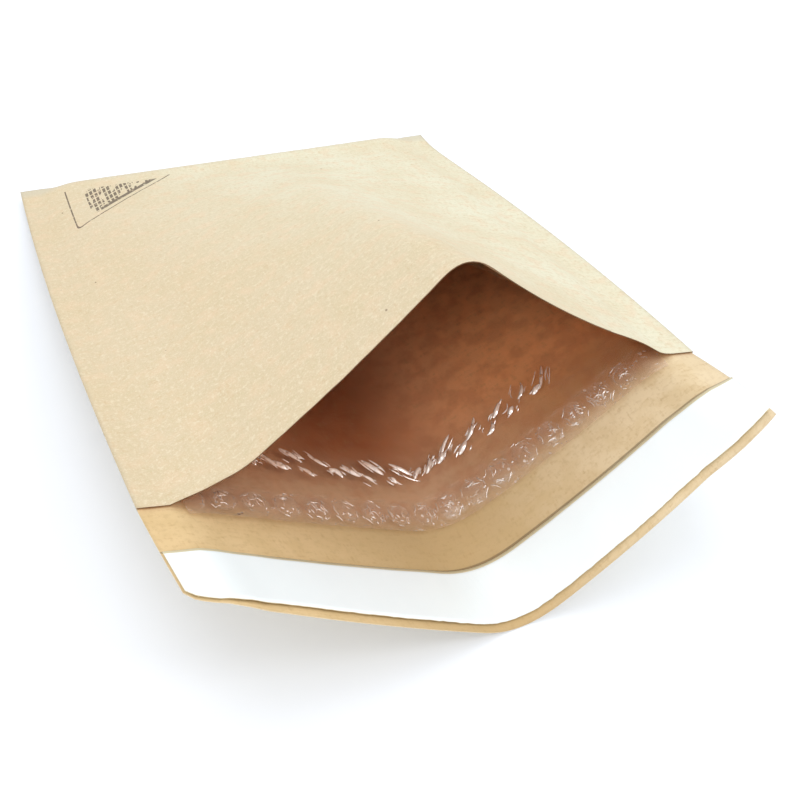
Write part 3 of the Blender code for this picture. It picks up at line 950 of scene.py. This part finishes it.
def crease(centre_u, centre_v, length, width, bow, turn):
    """Flat place and share of the height for the points of one crease, pointed at both ends."""
    along, beside = np.meshgrid(np.linspace(-1, 1, CREASE_STEPS), np.linspace(-1, 1, CREASE_RIBS))
    half_width = width / 2 * np.sqrt(np.clip(1 - along ** 2, 0.0, 1.0))
    share = (1 - beside ** 2) * (1 - along ** 2)
    forward = along * length / 2
    sideways = beside * half_width + bow * (1 - along ** 2)
    du = forward * math.sin(turn) + sideways * math.cos(turn)
    dv = forward * math.cos(turn) - sideways * math.sin(turn)
    return centre_u + du, centre_v + dv, share


def slanted_creases(source):
    """Long and short creases over two rows of bubbles, with finer ones beside them."""
    rows = ((LONG_CREASE_ROW, 1.0, 0.0), (SHORT_CREASE_ROW, 0.6, SHORT_CREASE_SHIFT))
    for row, size, drawn_in in rows:
        row_v = LINING_END_INSET + row * BUBBLE_ROW_PITCH - drawn_in
        for i in SLANTED_COLUMNS:
            u = (i + 0.5 * (row % 2)) * BUBBLE_PITCH + source.normal(0, 0.9 * MM)
            v = row_v - 0.05 * abs(u) + source.normal(0, 1.0 * MM)
            turn = math.copysign(math.radians(CREASE_TURN + source.normal(0, 7)), -u)
            length = CREASE_LENGTH * size * source.uniform(0.7, 1.15)
            width = CREASE_WIDTH * source.uniform(0.6, 1.05)
            yield u, v, length, width, source.normal(0, 0.6 * MM), turn
            for _ in range(source.integers(3, 6)):
                shift = source.uniform(1.6, 3.4) * MM * source.choice([-1, 1])
                yield (u + shift, v + source.normal(0, 1.4 * MM), length * source.uniform(0.3, 0.8),
                       width * source.uniform(0.2, 0.4), source.normal(0, 0.5 * MM),
                       turn + source.normal(0, 0.12))


def curled_creases(source):
    """Short curls and sparks round each bubble of the row along the film's edge."""
    v_middle = LINING_END_INSET + CURLED_ROW * BUBBLE_ROW_PITCH
    for i in CURLED_COLUMNS:
        u_middle = (i + 0.5 * (CURLED_ROW % 2)) * BUBBLE_PITCH
        for _ in range(source.integers(6, 13)):
            radius, angle = source.uniform(1.2, 6.0) * MM, source.uniform(0, 2 * math.pi)
            length = source.uniform(1.4, 4.8) * MM
            width = source.uniform(0.25, 0.55) * MM
            bow = -min(length ** 2 / (8 * radius), 0.4 * length)
            yield (u_middle + radius * math.cos(angle), v_middle + radius * math.sin(angle),
                   length, width, bow, -angle)
        for _ in range(source.integers(2, 6)):
            yield (u_middle + source.normal(0, 3.0 * MM), v_middle + source.normal(2.0 * MM, 1.4 * MM),
                   source.uniform(0.8, 1.5) * MM, source.uniform(0.5, 0.8) * MM, 0.0,
                   source.uniform(0, math.pi))


def film_creases(name, panel, wanted, material, seed):
    """Creases raised from the smooth film of a ply."""
    end = POCKET_LENGTH - LINING_MOUTH_INSET
    reach = POCKET_HALF_WIDTH - LINING_SIDE_INSET - CREASE_MARGIN
    points, sheet, faces = [], [], []
    for centre_u, centre_v, length, width, bow, turn in wanted:
        if abs(centre_u) > reach or centre_v > end - 2 * MM:
            continue
        u, v, share = crease(centre_u, centre_v, length, width, bow, turn)
        height = 0.06 * MM + share * CREASE_HEIGHT * width / CREASE_WIDTH
        spots = film_place(panel, u, v, film_depth(u, v, seed, end) + height)
        faces += grid_faces(CREASE_RIBS, CREASE_STEPS, len(points) * CREASE_RIBS * CREASE_STEPS)
        points.append(spots.reshape(-1, 3))
        sheet.append(np.stack([u, v, np.full_like(u, seed)], -1).reshape(-1, 3))
    creases = add_piece(name, np.concatenate(points), faces, np.concatenate(sheet), [material])


def flap_band(name, start, width, half_length, depth, thickness, materials, node, lift=0.0):
    """Thin band across the flap's inner face."""
    us = stations(-half_length, half_length, PAPER_STEP)
    vs = stations(start, start + width, PAPER_STEP)
    u, v = np.meshgrid(us, vs)
    ragged = np.random.default_rng(RAGGED_SEED).normal(0, RAGGED_EDGE, len(us))
    v = v + np.where(v > start + width - 0.5 * MM, ragged[None, :], 0.0)
    v = drawn_back(u, v, start + width / 3, start + width, STRIP_EDGE_INSET)
    wave = lift * (0.5 + 0.5 * slow_waves(u * 1.6, v * 1.2, LINER_SEED))
    points = BACK.place(u, v, depth + thickness + wave)
    sheet = np.stack([u, v, np.full_like(u, BAND_SEED)], -1).reshape(-1, 3)
    band = add_piece(name, points.reshape(-1, 3), grid_faces(len(vs), len(us)), sheet, materials)
    normals = np.array([polygon.normal for polygon in band.data.polygons])
    if normals[:, 2].sum() < 0:
        band.data.flip_normals()
    solidify = band.modifiers.new("band", "SOLIDIFY")
    solidify.thickness = thickness
    solidify.offset = -1.0
    solidify.material_offset_rim = len(materials) - 1
    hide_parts(node)


def closing_strip():
    liner_start = POCKET_LENGTH + LINER_OFFSET
    glue_start = liner_start + (LINER_WIDTH - ADHESIVE_WIDTH) / 2
    glue_depth = PAPER_THICKNESS + STRIP_CLEARANCE
    liner_depth = glue_depth + ADHESIVE_THICKNESS + STRIP_CLEARANCE
    flap_band("glue_strip", glue_start, ADHESIVE_WIDTH, HALF_WIDTH - ADHESIVE_END_INSET,
              glue_depth, ADHESIVE_THICKNESS, [flap_glue()], "adhesive_strip")
    flap_band("liner_paper", liner_start, LINER_WIDTH, HALF_WIDTH - LINER_END_INSET,
              liner_depth, LINER_THICKNESS, [release_paper(), liner_edge()], "release_liner",
              lift=LINER_LIFT)


# Surroundings

def floor():
    bm = bmesh.new()
    bmesh.ops.create_grid(bm, x_segments=1, y_segments=1, size=FLOOR_HALF_SIZE)
    mesh = bpy.data.meshes.new("floor")
    bm.to_mesh(mesh)
    bm.free()
    shader = Shader("white_floor")
    shader.feed(shader.surface, {"Base Color": FLOOR_COLOUR, "Roughness": 0.9,
                                 "Specular IOR Level": 0.0})
    mesh.materials.append(shader.material)
    obj = bpy.data.objects.new("floor", mesh)
    obj.location.z = -FLOOR_DROP
    bpy.context.scene.collection.objects.link(obj)


def area_lamp(name, place, size, power, colour):
    data = bpy.data.lights.new(name, "AREA")
    data.shape = "DISK"
    data.size = size
    data.energy = power
    data.color = colour
    lamp = bpy.data.objects.new(name, data)
    lamp.matrix_world = Matrix.Translation(place) @ aim_at_middle(place)
    bpy.context.scene.collection.objects.link(lamp)


def aim_at_middle(place):
    """Turn that points an object's -Z from its place to the envelope's middle."""
    from_middle = np.array(place) - np.array(LAMP_TARGET)
    z = from_middle / np.linalg.norm(from_middle)
    x = np.cross([0.0, 0.0, 1.0], z)
    x = x / np.linalg.norm(x)
    y = np.cross(z, x)
    return Matrix([(x[0], y[0], z[0]), (x[1], y[1], z[1]), (x[2], y[2], z[2])]).to_4x4()


def lights():
    world = bpy.data.worlds.new("studio")
    world.use_nodes = True
    background = world.node_tree.nodes["Background"]
    background.inputs["Color"].default_value = WORLD_COLOUR
    background.inputs["Strength"].default_value = WORLD_STRENGTH
    bpy.context.scene.world = world
    for lamp in LAMPS:
        area_lamp(*lamp)


def camera():
    data = bpy.data.cameras.new("camera")
    data.sensor_width = SENSOR_WIDTH
    data.lens = FOCAL_PIXELS * SENSOR_WIDTH / FRAME_PIXELS
    yaw, dip, roll = (math.radians(a) for a in (CAMERA_YAW, CAMERA_DIP, CAMERA_ROLL))
    ahead = np.array([math.sin(yaw) * math.cos(dip), math.cos(yaw) * math.cos(dip),
                      -math.sin(dip)])
    level = np.array([math.cos(yaw), -math.sin(yaw), 0.0])
    upright = np.cross(level, ahead)
    right = math.cos(roll) * level + math.sin(roll) * upright
    up = math.cos(roll) * upright - math.sin(roll) * level
    turn = Matrix([(right[i], up[i], -ahead[i]) for i in range(3)]).to_4x4()
    obj = bpy.data.objects.new("camera", data)
    obj.matrix_world = Matrix.Translation(CAMERA_PLACE) @ turn
    bpy.context.scene.collection.objects.link(obj)
    bpy.context.scene.camera = obj


def build():
    kraft_paper_cover()
    bubble = bubble_skin("bubble")
    film_sheet("back_film", BACK, film_skin("back_film", 1.0), BACK_FILM_SEED,
               LINING_MOUTH_INSET, "back_lining")
    bubble_sheet("back_bubbles", BACK, bubble, BACK_BUBBLE_SEED, LINING_MOUTH_INSET)
    source = np.random.default_rng(CREASE_SEED)
    film_creases("slanted_creases", BACK, slanted_creases(source),
                 crease_skin("slanted_crease", 0.88), BACK_FILM_SEED)
    film_creases("curled_creases", BACK, curled_creases(source),
                 crease_skin("curled_crease", 0.62), BACK_FILM_SEED)
    film_sheet("front_film", FRONT, film_skin("front_film", 0.0), FRONT_FILM_SEED,
               HIDDEN_MOUTH_INSET, "front_lining")
    bubble_sheet("front_bubbles", FRONT, bubble, FRONT_BUBBLE_SEED, HIDDEN_MOUTH_INSET)
    closing_strip()
    floor()
    lights()
    camera()
    bpy.context.scene.view_settings.view_transform = "Standard"


build()
